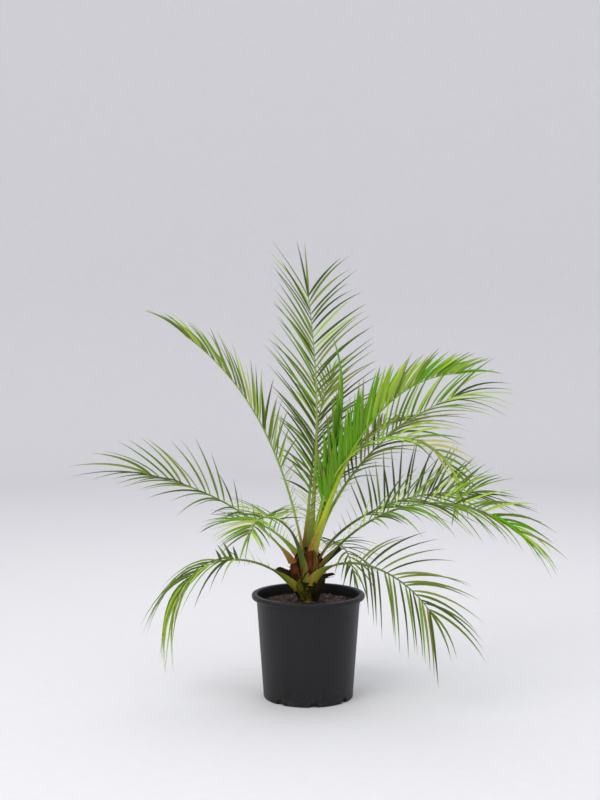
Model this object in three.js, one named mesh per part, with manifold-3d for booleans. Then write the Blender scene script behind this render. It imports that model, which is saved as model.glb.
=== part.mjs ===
// A young date palm in a black plastic nursery pot, as one group of named closed solids.
//
// Units are millimetres and +Z is up. The origin is the centre of the pot's flat underside.
// The palm has a short trunk, a whorl of arching fronds set around it, the stubs of fronds
// that were cut away, and one spear that hasn't opened. Every frond follows the same rule: a
// tapering rib that arches by its own few angles, with two rows of leaflets along it.

import * as THREE from 'three';
import { mergeVertices } from 'three/addons/utils/BufferGeometryUtils.js';
import Module from 'manifold-3d';

const wasm = await Module();
wasm.setup();

// ---------------------------------------------------------------- driving dimensions

const GAP = 0.3;              // clear space between neighbouring solids

const POT = {
  height: 188,
  lipRadius: 102.5,           // outside of the rolled rim
  lipHeight: 9,
  topRadius: 94.5,            // outside of the wall just under the rim
  baseRadius: 81,             // outside of the wall at the floor
  wall: 2.2,
  floor: 3,
  segments: 40,
  notches: 8,                 // drainage notches in the bottom corner
  notchTurn: 6.6,             // degrees from the pot's front to the nearest notch
  notchWidth: 14,
  notchHeight: 11,
  notchDepth: 9,
  rounding: 1.5,              // broken edge of the rim and of the bottom corner
};

const SOIL = {
  level: 173,                 // height of the potting mix at the middle
  edgeDrop: 4,                // it settles this much lower at the wall
  flatRadius: 34,             // level patch that the palm grows out of
};

const TRUNK = {
  segments: 18,
  // radius at each height over the potting mix: root flare, neck, swollen crown, blunt tip
  profile: [[0, 18], [4, 16], [12, 20], [22, 26], [40, 28], [58, 26], [74, 21], [88, 14], [97, 8], [99, 0]],
};

const RIB = {
  sides: 4,
  tipWidth: 2.2,
  petioleWidth: 7,
  flatness: 0.85,             // thickness over width
  claspWidth: 17,             // the base clasps the trunk, this much wider than the petiole
  claspDepth: 5,              // and this much thicker
  claspLength: 70,
  stations: [0, 0.04, 0.09, 0.16, 0.25, 0.36, 0.48, 0.6, 0.72, 0.84, 0.93, 1],
};

const LEAFLET = {
  share: 0.7,                 // the solids carry this share of a living frond's pairs
  width: 6.8,
  rootShare: 0.42,            // width at the rib over the full width
  widestAt: 0.42,
  thickness: 0.0118,          // over its length
  leastThickness: 1.1,
  growOver: 0.35,             // the first pairs lengthen over this share of the bladed part
  fadeFrom: 0.4,              // from here on they shorten again
  fadeBy: 0.2,                // by this share at the last pair
  terminal: 0.86,             // the last single leaflet over the longest one
  angleScatter: 3,            // degrees
  lengthScatter: 0.07,
  droopScatter: 0.4,
  probe: 1.25,                // a leaflet is tested this much broader than it is made
};

// Each frond: the height, radius and azimuth of its seat on the trunk; the azimuth and
// elevation it sets off at, how far it falls by its tip and how late it bends, how far it
// turns sideways, its length, the roll of its blade and the angle its two rows are folded up
// by; then its leaflets: longest length, pairs, bare share of the rib, droop, angle off the
// rib at the first and last pair, and the first pair's share of the full length. Where one
// row stands further off the rib than the other, skew is half the difference. A frond may
// have its own fade and tip in place of the leaflets' fadeBy and terminal.
const FRONDS = [
  { name: 'low_left', height: 26, radius: 26, seat: 228, azimuth: 189, rise: 44, fall: 110, bend: 1.38,
    turn: 0, length: 260, roll: 40, fold: 12, leaf: 130, pairs: 15, bare: 0.48, droop: 0.6,
    open: 30, close: 9, first: 0.2, fade: 0, skew: -8 },
  { name: 'low_right', height: 34, radius: 26, seat: 280, azimuth: 334, rise: 88, fall: 139, bend: 0.48,
    turn: 0, length: 270, roll: -62, fold: 6, leaf: 124, pairs: 14, bare: 0.4, droop: 0.32,
    open: 62, close: 24, first: 0.75, fade: 0, tip: 0.75 },
  { name: 'low_back', height: 40, radius: 20, seat: 76, azimuth: 68, rise: 40, fall: 105, bend: 1.2,
    turn: 0, length: 270, roll: 0, fold: 12, leaf: 95, pairs: 14, bare: 0.36, droop: 0.2,
    open: 62, close: 18, first: 0.6 },
  { name: 'near_left', height: 66, radius: 16, seat: 235, azimuth: 204, rise: 92, fall: 125, bend: 0.89,
    turn: 55, length: 227, roll: 0, fold: 15, leaf: 92, pairs: 14, bare: 0.5, droop: 0.12,
    open: 84, close: 28, first: 0.8 },
  { name: 'near_right', height: 58, radius: 20, seat: 325, azimuth: 334, rise: 52, fall: 88, bend: 1.32,
    turn: 0, length: 423, roll: -48, fold: 12, leaf: 126, pairs: 23, bare: 0.3, droop: 0.28,
    open: 62, close: 8, first: 0.5, skew: -14 },
  { name: 'mid_left', height: 58, radius: 24, seat: 225, azimuth: 202, rise: 58, fall: 45, bend: 0.86,
    turn: 0, length: 336, roll: 44, fold: 14, leaf: 128, pairs: 13, bare: 0.46, droop: 0.16,
    open: 60, close: 12, first: 0.5, skew: 8, tip: 1.15 },
  { name: 'mid_right', height: 70, radius: 16, seat: 10, azimuth: 33, rise: 79, fall: 86, bend: 0.36,
    turn: 0, length: 400, roll: -46, fold: 20, leaf: 138, pairs: 22, bare: 0.32, droop: 0.06,
    open: 72, close: 24, first: 0.5 },
  { name: 'mid_back', height: 74, radius: 16, seat: 140, azimuth: 145, rise: 46, fall: 66, bend: 1.2,
    turn: 0, length: 200, roll: 0, fold: 18, leaf: 75, pairs: 12, bare: 0.36, droop: 0.1,
    open: 60, close: 20, first: 0.6 },
  { name: 'bowed_right', height: 84, radius: 12, seat: 335, azimuth: 343, rise: 86.5, fall: 186, bend: 1.66,
    turn: 0, length: 472, roll: -44, fold: 12, leaf: 98, pairs: 17, bare: 0.44, droop: 0.12,
    open: 40, close: 14, first: 0.6, fade: 0.5, tip: 0.4 },
  { name: 'high_right', height: 88, radius: 10, seat: 20, azimuth: 12, rise: 73, fall: 54, bend: 1.02,
    turn: 0, length: 402, roll: -40, fold: 12, leaf: 130, pairs: 21, bare: 0.34, droop: 0.2,
    open: 52, close: 24, first: 0.6, fade: 0 },
  { name: 'back_right', height: 86, radius: 10, seat: 60, azimuth: 55, rise: 68, fall: 70, bend: 1.2,
    turn: 0, length: 400, roll: 0, fold: 18, leaf: 118, pairs: 20, bare: 0.32, droop: 0.1,
    open: 60, close: 18, first: 0.6 },
  { name: 'high_left', height: 90, radius: 8, seat: 190, azimuth: 190, rise: 77.5, fall: 42, bend: 1.6,
    turn: 0, length: 456, roll: 8, fold: 50, leaf: 100, pairs: 20, bare: 0.34, droop: 0.18,
    open: 42, close: 10, first: 0.8 },
  { name: 'high_back', height: 92, radius: 7, seat: 118, azimuth: 76, rise: 80, fall: 58, bend: 1.4,
    turn: 0, length: 400, roll: 10, fold: 16, leaf: 108, pairs: 22, bare: 0.25, droop: 0.1,
    open: 56, close: 18, first: 0.6 },
  { name: 'bright_right', height: 92, radius: 7, seat: 335, azimuth: 348, rise: 71, fall: 71, bend: 2.4,
    turn: 0, length: 446, roll: -10, fold: 56, leaf: 114, pairs: 34, bare: 0.2, droop: 0.1,
    open: 24, close: 30, first: 0.6, fade: 0.45, tip: 0.7 },
  { name: 'tall_back', height: 94, radius: 4, seat: 88, azimuth: 60, rise: 75, fall: 0, bend: 1,
    turn: 60, length: 482, roll: 0, fold: 5, leaf: 152, pairs: 27, bare: 0.2, droop: 0.08,
    open: 46, close: 36, first: 0.55, skew: 9, tip: 0.75 },
];

// The unopened leaf stands in the middle: its leaflets still lie along the rib.
const SPEAR = { name: 'spear', height: 96, radius: 3, seat: 300, azimuth: 345, rise: 74, fall: -40,
  bend: 3, turn: 0, length: 397, roll: 0, fold: 20 };
const SPEAR_BUNDLE = {
  width: 9.5,
  stations: [0, 0.12, 0.3, 0.5, 0.65, 0.8, 0.92, 1],
  flatness: 0.6,
  leaflets: 10,               // the few that stand off it, by a small angle
  bare: 0.28,
  spacing: 0.05,
  angle: 14,
  longest: 92,
  shortening: 5,
};

// Stubs of old fronds: seat height, azimuth, rise, length from the seat, width, and how far
// each is twisted round by its cut end. A stub is seated just off the trunk's axis and
// narrows to that end.
const STUB_SEAT = 2;
const STUB_FALL = 12;
const STUB_NARROWING = 0.45;
const STUB_FLATNESS = 0.45;
const STUB_STATIONS = [0, 0.3, 0.6, 0.85, 1];
const STUBS = [
  { name: 'stub_right_upper', height: 44, azimuth: 346, rise: 50, length: 84, width: 18, roll: -70 },
  { name: 'stub_right_lower', height: 36, azimuth: 12, rise: 20, length: 44, width: 15, roll: -50 },
  { name: 'stub_left', height: 28, azimuth: 176, rise: 36, length: 62, width: 18, roll: 70 },
  { name: 'stub_back', height: 44, azimuth: 106, rise: 46, length: 66, width: 17, roll: 0 },
  { name: 'stub_back_left', height: 24, azimuth: 140, rise: 40, length: 50, width: 16, roll: 0 },
  { name: 'stub_front', height: 3, azimuth: 264, rise: 40, length: 42, width: 20, roll: 0 },
];

const STEEP_FALL = 90;        // a frond that falls further is made as two solids
const SPLIT_AT = 0.5;         // share of the rib where those two meet

// ---------------------------------------------------------------- materials

const finish = (color, roughness) => new THREE.MeshStandardMaterial({ color, roughness, metalness: 0 });
const MATERIALS = {
  pot: finish(0x2b2b2f, 0.5),
  soil: finish(0x33241f, 0.95),
  trunk: finish(0x5e3420, 0.9),
  stub: finish(0x43301f, 0.9),
  leaf: finish(0x4f7a2c, 0.6),
  brightLeaf: finish(0x6ea521, 0.55),
};

// ---------------------------------------------------------------- solids and meshes

function solidOf(geometry) {
  geometry.deleteAttribute('normal');
  geometry.deleteAttribute('uv');
  const merged = mergeVertices(geometry, 1e-4);
  return new wasm.Manifold(new wasm.Mesh({
    numProp: 3,
    vertProperties: new Float32Array(merged.attributes.position.array),
    triVerts: new Uint32Array(merged.index.array),
  }));
}

function meshOf(name, solid, material) {
  const { vertProperties, triVerts } = solid.getMesh();
  const geometry = new THREE.BufferGeometry();
  geometry.setAttribute('position', new THREE.BufferAttribute(new Float32Array(vertProperties), 3));
  geometry.setIndex(new THREE.BufferAttribute(new Uint32Array(triVerts), 1));
  geometry.computeVertexNormals();
  const mesh = new THREE.Mesh(geometry, material);
  mesh.name = name;
  return mesh;
}

// The biggest of a solid's loose bodies; the scraps of a cut are dropped.
function mainBody(solid) {
  return solid.decompose().reduce((best, body) => (body.volume() > best.volume() ? body : best));
}

const meet = (a, b) => !a.intersect(b).isEmpty();

// ---------------------------------------------------------------- the pot and its mix

// Outside radius of the pot's wall at a height.
const potRadius = (z) => POT.baseRadius + (POT.topRadius - POT.baseRadius) * z / POT.height;

// A solid of revolution about Z. The lathe turns about Y, so it is stood up afterwards.
function turned(profile, segments) {
  const points = profile.map(([radius, z]) => new THREE.Vector2(radius, z));
  return solidOf(new THREE.LatheGeometry(points, segments).rotateX(Math.PI / 2));
}

function potSolid() {
  const { height, lipRadius, lipHeight, wall, floor, rounding } = POT;
  const inner = (z) => potRadius(z) - wall;
  const lipBottom = height - lipHeight;
  let pot = turned([
    [0, 0],
    [potRadius(0) - rounding, 0],
    [potRadius(0), rounding],
    [potRadius(lipBottom), lipBottom],
    [lipRadius - rounding, lipBottom],
    [lipRadius, lipBottom + rounding],
    [lipRadius, height - rounding],
    [lipRadius - rounding, height],
    [inner(height), height],
    [inner(floor), floor],
    [0, floor],
  ], POT.segments);
  const { notches, notchTurn, notchWidth, notchHeight, notchDepth } = POT;
  for (let i = 0; i < notches; i += 1) {
    const notch = new THREE.BoxGeometry(2 * notchDepth, notchWidth, 2 * notchHeight);
    notch.translate(POT.baseRadius, 0, 0);
    notch.rotateZ(THREE.MathUtils.degToRad(-90 + notchTurn + (360 * i) / notches));
    pot = pot.subtract(solidOf(notch));
  }
  return pot;
}

function soilSolid() {
  const rim = SOIL.level - SOIL.edgeDrop;
  const bottom = POT.floor + GAP;
  const reach = (z) => potRadius(z) - POT.wall - GAP;
  return turned([
    [0, bottom],
    [reach(bottom), bottom],
    [reach(rim), rim],
    [0.7 * reach(rim), SOIL.level - 0.5 * SOIL.edgeDrop],
    [SOIL.flatRadius, SOIL.level],
    [0, SOIL.level],
  ], POT.segments);
}

// ---------------------------------------------------------------- the trunk

// A grown copy of the trunk cuts the clear space out of whatever is seated on it.
function trunkSolid(grown) {
  const foot = SOIL.level + GAP;
  const outline = TRUNK.profile.map(([height, radius]) => [radius && radius + grown, foot + height]);
  outline[0][1] -= grown;
  outline[outline.length - 1][1] += grown;
  return turned([[0, outline[0][1]], ...outline], TRUNK.segments);
}

// ---------------------------------------------------------------- limbs

// Direction of a limb at share t of its length, with its side and its back: a limb falls from
// its first elevation and turns from its first azimuth as it goes.
function frameAt(habit, t) {
  const { degToRad } = THREE.MathUtils;
  const elevation = degToRad(habit.rise - habit.fall * t ** habit.bend);
  const azimuth = degToRad(habit.azimuth + habit.turn * t);
  const along = new THREE.Vector3(
    Math.cos(elevation) * Math.cos(azimuth),
    Math.cos(elevation) * Math.sin(azimuth),
    Math.sin(elevation),
  );
  const side = new THREE.Vector3(Math.sin(azimuth), -Math.cos(azimuth), 0);
  const back = new THREE.Vector3().crossVectors(side, along);
  const roll = degToRad(habit.roll) * (1 - (1 - t) ** 2);
  return {
    along,
    side: side.clone().multiplyScalar(Math.cos(roll)).addScaledVector(back, Math.sin(roll)),
    back: back.clone().multiplyScalar(Math.cos(roll)).addScaledVector(side, -Math.sin(roll)),
  };
}

// The centre line of a limb, walked in small steps from its seat on the trunk.
class Centreline extends THREE.Curve {
  constructor(habit, steps = 48) {
    super();
    const azimuth = THREE.MathUtils.degToRad(habit.seat);
    const seat = new THREE.Vector3(
      habit.radius * Math.cos(azimuth),
      habit.radius * Math.sin(azimuth),
      SOIL.level + habit.height,
    );
    this.stops = [seat];
    for (let i = 0; i < steps; i += 1) {
      const { along } = frameAt(habit, (i + 0.5) / steps);
      this.stops.push(this.stops[i].clone().addScaledVector(along, habit.length / steps));
    }
  }

  getPoint(t, target = new THREE.Vector3()) {
    const place = THREE.MathUtils.clamp(t, 0, 1) * (this.stops.length - 1);
    const i = Math.min(Math.floor(place), this.stops.length - 2);
    return target.lerpVectors(this.stops[i], this.stops[i + 1], place - i);
  }
}

// A closed skin over rings of corners, each ring with as many corners as the next. A ring
// may be a single point, as at a tip.
function skin(rings) {
  const corners = [];
  const faces = [];
  const starts = rings.map((ring) => {
    const start = corners.length / 3;
    ring.forEach((corner) => corners.push(corner.x, corner.y, corner.z));
    return start;
  });
  for (let i = 0; i + 1 < rings.length; i += 1) {
    const count = Math.max(rings[i].length, rings[i + 1].length);
    for (let k = 0; k < count; k += 1) {
      const here = (n) => starts[i] + (n % rings[i].length);
      const next = (n) => starts[i + 1] + (n % rings[i + 1].length);
      if (rings[i].length > 1) faces.push(here(k), here(k + 1), next(k));
      if (rings[i + 1].length > 1) faces.push(here(k + 1), next(k + 1), next(k));
    }
  }
  const last = rings.length - 1;
  for (let k = 1; k + 1 < rings[0].length; k += 1) faces.push(starts[0], starts[0] + k + 1, starts[0] + k);
  for (let k = 1; k + 1 < rings[last].length; k += 1) {
    faces.push(starts[last], starts[last] + k, starts[last] + k + 1);
  }
  const geometry = new THREE.BufferGeometry();
  geometry.setAttribute('position', new THREE.Float32BufferAttribute(corners, 3));
  geometry.setIndex(faces);
  return solidOf(geometry);
}

// An oval ring of corners about a point, counter-clockwise as seen from further along.
function oval(centre, frame, width, thickness, sides) {
  return Array.from({ length: sides }, (_, k) => {
    const angle = (2 * Math.PI * k) / sides;
    return centre.clone()
      .addScaledVector(frame.side, 0.5 * width * Math.cos(angle))
      .addScaledVector(frame.back, -0.5 * thickness * Math.sin(angle));
  });
}

// The section of a rib: a broad clasping base, a petiole, then a long even taper.
function ribRing(habit, line, t, grown) {
  const taper = RIB.tipWidth + (RIB.petioleWidth - RIB.tipWidth) * (1 - t);
  const clasp = Math.max(0, 1 - (t * habit.length) / RIB.claspLength) ** 2;
  const width = taper + RIB.claspWidth * clasp + 2 * grown;
  const thickness = RIB.flatness * taper + RIB.claspDepth * clasp + 2 * grown;
  return oval(line.getPoint(t), frameAt(habit, t), width, thickness, RIB.sides);
}

// The rib of a frond between two shares of its length, grown by a clearance.
function ribSolid(habit, line, from, to, grown = 0) {
  const inside = RIB.stations.filter((t) => t > from + 0.02 && t < to - 0.02);
  return skin([from, ...inside, to].map((t) => ribRing(habit, line, t, grown)));
}

// ---------------------------------------------------------------- leaflets

// A repeatable scatter between -1 and 1.
function scatter(seed) {
  const wave = Math.sin(seed * 12.9898) * 43758.5453;
  return 2 * (wave - Math.floor(wave)) - 1;
}

// One leaflet, folded along its keel: a three-cornered blade that leaves the rib, droops a
// little under its own weight, and ends in a point.
function leafletSolid(habit, line, t, row, angle, length, droop, fat = 1) {
  const { along, side, back } = frameAt(habit, t);
  const fold = THREE.MathUtils.degToRad(habit.fold);
  const outward = side.clone().multiplyScalar(row * Math.cos(fold)).addScaledVector(back, Math.sin(fold));
  const aim = along.clone().multiplyScalar(Math.cos(angle)).addScaledVector(outward, Math.sin(angle));
  const sag = new THREE.Vector3(0, 0, -1).addScaledVector(aim, aim.z);
  const edge = along.clone().addScaledVector(aim, -along.dot(aim)).normalize().multiplyScalar(row);
  const keel = new THREE.Vector3().crossVectors(aim, edge);
  const root = line.getPoint(t);
  const at = (share) => root.clone()
    .addScaledVector(aim, length * share)
    .addScaledVector(sag, length * droop * share ** 2);
  const thickness = fat * Math.max(LEAFLET.thickness * length, LEAFLET.leastThickness);
  const corner = (share, size, across, up) => at(share)
    .addScaledVector(edge, across * LEAFLET.width * size * fat)
    .addScaledVector(keel, up * thickness * size);
  const ring = (share, size) => [
    corner(share, size, 0.5, 0.4),
    corner(share, size, -0.5, 0.4),
    corner(share, size, 0, -0.6),
  ];
  return skin([ring(0, LEAFLET.rootShare), ring(LEAFLET.widestAt, 1), [at(1)]]);
}

// Every leaflet of a frond as its place on the rib, its row, its angle and its length. They
// are shorter at the first pairs and the last, and close up towards the tip.
function leafletPlan(habit, index) {
  const plan = [];
  const pairs = Math.round(habit.pairs * LEAFLET.share);
  for (let pair = 0; pair < pairs; pair += 1) {
    const u = (pair + 0.5) / pairs;
    const growth = Math.sin(0.5 * Math.PI * Math.min(u / LEAFLET.growOver, 1));
    const grow = habit.first + (1 - habit.first) * growth;
    const late = Math.max(u - LEAFLET.fadeFrom, 0) / (1 - LEAFLET.fadeFrom);
    const fade = 1 - (habit.fade ?? LEAFLET.fadeBy) * late;
    [1, -1].forEach((row) => {
      const seed = 100 * index + 2 * pair + (row > 0 ? 1 : 0);
      plan.push({
        t: habit.bare + (1 - habit.bare) * (u + (0.25 * row) / pairs),
        row,
        angle: habit.close + (habit.open - habit.close) * (1 - u) + (habit.skew ?? 0) * row
          + LEAFLET.angleScatter * scatter(seed),
        length: habit.leaf * grow * fade * (1 + LEAFLET.lengthScatter * scatter(seed + 0.5)),
        droop: habit.droop * (1 + LEAFLET.droopScatter * scatter(seed + 0.25)),
      });
    });
  }
  const last = (habit.tip ?? LEAFLET.terminal) * habit.leaf;
  plan.push({ t: 0.985, row: 1, angle: 3, length: last, droop: habit.droop });
  return plan;
}

// ---------------------------------------------------------------- putting it together

const palm = new THREE.Group();
const add = (name, solid, material) => palm.add(meshOf(name, solid, material));

const pot = potSolid();
add('pot', pot, MATERIALS.pot);
add('potting_mix', soilSolid(), MATERIALS.soil);
const trunk = trunkSolid(0);
add('trunk', trunk, MATERIALS.trunk);

// What later pieces must stay clear of, each with a name of its own.
const trunkClear = trunkSolid(GAP);
const blocks = [];
const boxesMeet = (a, b) => {
  const p = a.boundingBox();
  const q = b.boundingBox();
  return [0, 1, 2].every((k) => p.min[k] < q.max[k] && q.min[k] < p.max[k]);
};

// A limb cut clear of the trunk and of every limb that was seated before it.
function seated(owner, solid, grown) {
  let cut = solid.subtract(trunkClear);
  blocks.filter((block) => block.owner !== owner && boxesMeet(block.solid, cut)).forEach((block) => {
    cut = cut.subtract(block.solid);
  });
  const body = mainBody(cut);
  blocks.push({ owner, solid: grown });
  return body;
}

STUBS.forEach((stub) => {
  const plain = { radius: STUB_SEAT, seat: stub.azimuth, fall: STUB_FALL, bend: 1, turn: 0 };
  const habit = { ...stub, ...plain };
  const line = new Centreline(habit, 8);
  const shape = (grown) => skin(STUB_STATIONS.map((t) => {
    const width = stub.width * (1 - STUB_NARROWING * t) + 2 * grown;
    return oval(line.getPoint(t), frameAt(habit, t), width, STUB_FLATNESS * width, RIB.sides);
  }));
  add(stub.name, seated(stub.name, shape(0), shape(GAP)), MATERIALS.stub);
});

// All the ribs are seated first, so that a leaflet can be kept clear of every one of them.
const ribs = FRONDS.map((habit) => {
  const line = new Centreline(habit);
  const cuts = habit.fall > STEEP_FALL ? [0, SPLIT_AT, 1] : [0, 1];
  const halfGap = (0.5 * GAP) / habit.length;
  const pieces = cuts.slice(1).map((to, i) => {
    const from = cuts[i] + (i > 0 ? halfGap : 0);
    const end = to < 1 ? to - halfGap : to;
    const grown = ribSolid(habit, line, from, end, GAP);
    return { from, to: end, solid: seated(habit.name, ribSolid(habit, line, from, end), grown) };
  });
  return { habit, line, pieces };
});

// The spear: a slim bundle, broadest in its upper half.
const spearLine = new Centreline(SPEAR);
const spearShape = (grown) => skin(SPEAR_BUNDLE.stations.map((t) => {
  const swelling = 0.62 + 0.5 * Math.sin(Math.PI * t) - 0.3 * t;
  const width = SPEAR_BUNDLE.width * swelling + 2 * grown;
  return oval(spearLine.getPoint(t), frameAt(SPEAR, t), width, SPEAR_BUNDLE.flatness * width, RIB.sides);
}));
const spearRib = seated(SPEAR.name, spearShape(0), spearShape(GAP));

// A leaflet is swung a little either way to find clear space, and left out where there is none.
const SWINGS = [0, 4, -4, 8, -8, 13, -13];
const leaflets = [];

function placed(owner, make) {
  for (const swing of SWINGS) {
    const probe = make(swing, LEAFLET.probe);
    const rivals = [...blocks, ...leaflets].filter((other) => other.owner !== owner);
    const hit = meet(probe, trunkClear)
      || rivals.some((other) => boxesMeet(other.solid, probe) && meet(other.solid, probe));
    if (!hit) {
      const solid = make(swing, 1);
      leaflets.push({ owner, solid });
      return solid;
    }
  }
  return null;
}

ribs.forEach(({ habit, line, pieces }, index) => {
  const plans = leafletPlan(habit, index);
  pieces.forEach((piece, part) => {
    const margin = 2.5 / habit.length;
    const rows = plans.filter(({ t }) => t >= piece.from + (part > 0 ? margin : 0)
      && (t < piece.to - margin || piece.to === 1));
    const blades = rows.map((plan) => placed(habit.name, (swing, fat) => {
      const angle = THREE.MathUtils.degToRad(plan.angle + swing);
      return leafletSolid(habit, line, plan.t, plan.row, angle, plan.length, plan.droop, fat);
    })).filter(Boolean);
    const whole = mainBody(wasm.Manifold.union([piece.solid, ...blades]));
    const half = part ? '_outer' : '_inner';
    const name = `frond_${habit.name}${pieces.length > 1 ? half : ''}`;
    const material = habit.name === 'bright_right' ? MATERIALS.brightLeaf : MATERIALS.leaf;
    add(name, whole, material);
  });
});

// The spear's own few leaflets stand off its upper half.
const spearBlades = Array.from({ length: SPEAR_BUNDLE.leaflets }, (_, i) => {
  const { bare, spacing, longest, shortening } = SPEAR_BUNDLE;
  return placed(SPEAR.name, (swing, fat) => {
    const angle = THREE.MathUtils.degToRad(SPEAR_BUNDLE.angle + 0.3 * Math.abs(swing));
    const length = longest - shortening * i;
    return leafletSolid(SPEAR, spearLine, bare + spacing * i, i % 2 ? 1 : -1, angle, length, 0, fat);
  });
}).filter(Boolean);
add('frond_spear', mainBody(wasm.Manifold.union([spearRib, ...spearBlades])), MATERIALS.brightLeaf);

export default palm;
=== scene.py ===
"""A young date palm in a black nursery pot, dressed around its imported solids.

Units are metres, +Z is up, and the origin is the middle of the pot's underside. The file
follows the plant from the pot up: pot, potting mix, bark, trunk, fibre, old leaf bases,
fronds and spear, and last the floor, the lights and the camera.
"""
import math
import random

import bmesh
import bpy
from mathutils import Matrix, Vector, noise


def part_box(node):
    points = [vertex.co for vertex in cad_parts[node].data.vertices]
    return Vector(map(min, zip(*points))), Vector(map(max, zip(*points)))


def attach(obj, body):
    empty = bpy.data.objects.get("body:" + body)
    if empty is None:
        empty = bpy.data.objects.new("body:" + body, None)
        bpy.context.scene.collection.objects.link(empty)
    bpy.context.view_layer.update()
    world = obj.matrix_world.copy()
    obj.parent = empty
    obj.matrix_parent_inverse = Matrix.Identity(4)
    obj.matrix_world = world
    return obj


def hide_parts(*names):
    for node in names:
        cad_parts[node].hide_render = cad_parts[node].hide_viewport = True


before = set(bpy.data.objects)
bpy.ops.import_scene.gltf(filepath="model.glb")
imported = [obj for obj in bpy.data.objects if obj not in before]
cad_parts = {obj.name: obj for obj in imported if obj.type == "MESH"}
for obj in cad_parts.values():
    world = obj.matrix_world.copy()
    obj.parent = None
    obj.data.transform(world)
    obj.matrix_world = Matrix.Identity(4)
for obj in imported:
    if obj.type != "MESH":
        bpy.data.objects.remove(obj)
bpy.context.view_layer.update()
MM = 0.001


# ------------------------------------------------------------------------- pot
# The nursery pot is one thin moulding of black polypropylene, with a rolled rim, a shallow
# foot ring and arched drainage notches round the foot. It is turned as one closed wall, and
# the notches are cut through it.

POT_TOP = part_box("pot")[1].z
LIP_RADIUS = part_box("pot")[1].x
POT_SIDES = 192
LIP_HEIGHT = 9 * MM
LIP_ROUND = 3.2 * MM
NECK = 5 * MM
NECK_ROUND = 2.4 * MM
MOUTH_ROUND = 2 * MM
WALL_TOP_RADIUS = 94.5 * MM
WALL_BASE_RADIUS = 81 * MM
WALL = 2.2 * MM
WALL_RINGS = 24
FLOOR = 3 * MM
FOOT_LIFT = 1.2 * MM
FOOT_INSETS = (10 * MM, 8 * MM, 2 * MM)  # the underside's slope and the ring's edges, from the wall
FOOT_ROUND = 1.8 * MM
FOOT_ROUND_INSET = 1.6 * MM
NOTCHES = 8
NOTCH_TURN = 6.6
NOTCH_WIDTH = 14 * MM
NOTCH_HEIGHT = 10 * MM
NOTCH_DEPTH = 9 * MM


def placed(name, data):
    """A new object in the scene, at the origin."""
    made = bpy.data.objects.new(name, data)
    bpy.context.scene.collection.objects.link(made)
    return made


def piece_from(name, points, faces, crease=0.6):
    """A new mesh object at the origin, smooth but for the edges sharper than crease."""
    mesh = bpy.data.meshes.new(name)
    mesh.from_pydata([tuple(p) for p in points], [], faces)
    mesh.shade_smooth()
    mesh.set_sharp_from_angle(angle=crease)
    mesh.validate()
    return placed(name, mesh)


def arc(centre, radius, start, end, steps):
    """Points of (radius, height) along an arc, its angles in degrees."""
    angles = [math.radians(start + (end - start) * i / steps) for i in range(steps + 1)]
    return [(centre[0] + radius * math.cos(a), centre[1] + radius * math.sin(a)) for a in angles]


def skin(rings, capped=False):
    """Points and faces of a skin over rings of points, each with as many points or one. If it
    is capped, an end ring of more than one point is closed by a face."""
    points, numbers, faces = [], [], []
    for ring in rings:
        numbers.append(range(len(points), len(points) + len(ring)))
        points += ring
    if capped and len(rings[0]) > 1:
        faces.append(tuple(reversed(numbers[0])))
    for lower, upper in zip(numbers, numbers[1:]):
        sides = max(len(lower), len(upper))
        for k in range(sides):
            m = (k + 1) % sides
            if len(lower) == 1:
                faces.append((lower[0], upper[m], upper[k]))
            elif len(upper) == 1:
                faces.append((lower[k], lower[m], upper[0]))
            else:
                faces.append((lower[k], lower[m], upper[m], upper[k]))
    if capped and len(rings[-1]) > 1:
        faces.append(tuple(numbers[-1]))
    return points, faces


def circle(radius, height, sides):
    """A ring of points round the Z axis, or the one point on it if the radius is nought."""
    angles = [2 * math.pi * k / sides for k in range(sides if radius > 0 else 1)]
    return [(radius * math.cos(a), radius * math.sin(a), height) for a in angles]


def turned(profile, sides):
    """Points and faces of a solid of revolution; its profile runs from axis to axis."""
    return skin([circle(radius, height, sides) for radius, height in profile])


def wall_radius(height):
    """Outside radius of the pot's wall."""
    return WALL_BASE_RADIUS + (WALL_TOP_RADIUS - WALL_BASE_RADIUS) * height / POT_TOP


lip_bottom = POT_TOP - LIP_HEIGHT
lip_edge = (LIP_RADIUS - LIP_ROUND, POT_TOP - LIP_ROUND)
lip_under = (LIP_RADIUS - LIP_ROUND, lip_bottom + LIP_ROUND)
bore = WALL_TOP_RADIUS - WALL
slope, ring_inner, ring_outer = (WALL_BASE_RADIUS - inset for inset in FOOT_INSETS)
pot_profile = [(0, FOOT_LIFT), (slope, FOOT_LIFT), (ring_inner, 0), (ring_outer, 0)]
pot_profile += arc((WALL_BASE_RADIUS - FOOT_ROUND_INSET, FOOT_ROUND), FOOT_ROUND, -80, 0, 5)
pot_profile += [(wall_radius(h), h) for h in (POT_TOP * i / WALL_RINGS for i in range(1, WALL_RINGS - 2))]
pot_profile += [(wall_radius(lip_bottom - NECK), lip_bottom - NECK)]
pot_profile += arc((wall_radius(lip_bottom) + NECK_ROUND, lip_bottom - NECK_ROUND), NECK_ROUND, 180, 90, 4)
pot_profile += arc(lip_under, LIP_ROUND, -90, 0, 6)
pot_profile += arc(lip_edge, LIP_ROUND, 0, 90, 6)
pot_profile += arc((bore + MOUTH_ROUND, POT_TOP - MOUTH_ROUND), MOUTH_ROUND, 90, 180, 5)
pot_profile += [(wall_radius(h) - WALL, h) for h in (0.9 * POT_TOP, 0.8 * POT_TOP, 0.4 * POT_TOP)]
pot_profile += [(wall_radius(FLOOR) - WALL, FLOOR), (0, FLOOR)]
pot = piece_from("nursery_pot", *turned(pot_profile, POT_SIDES))

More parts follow.
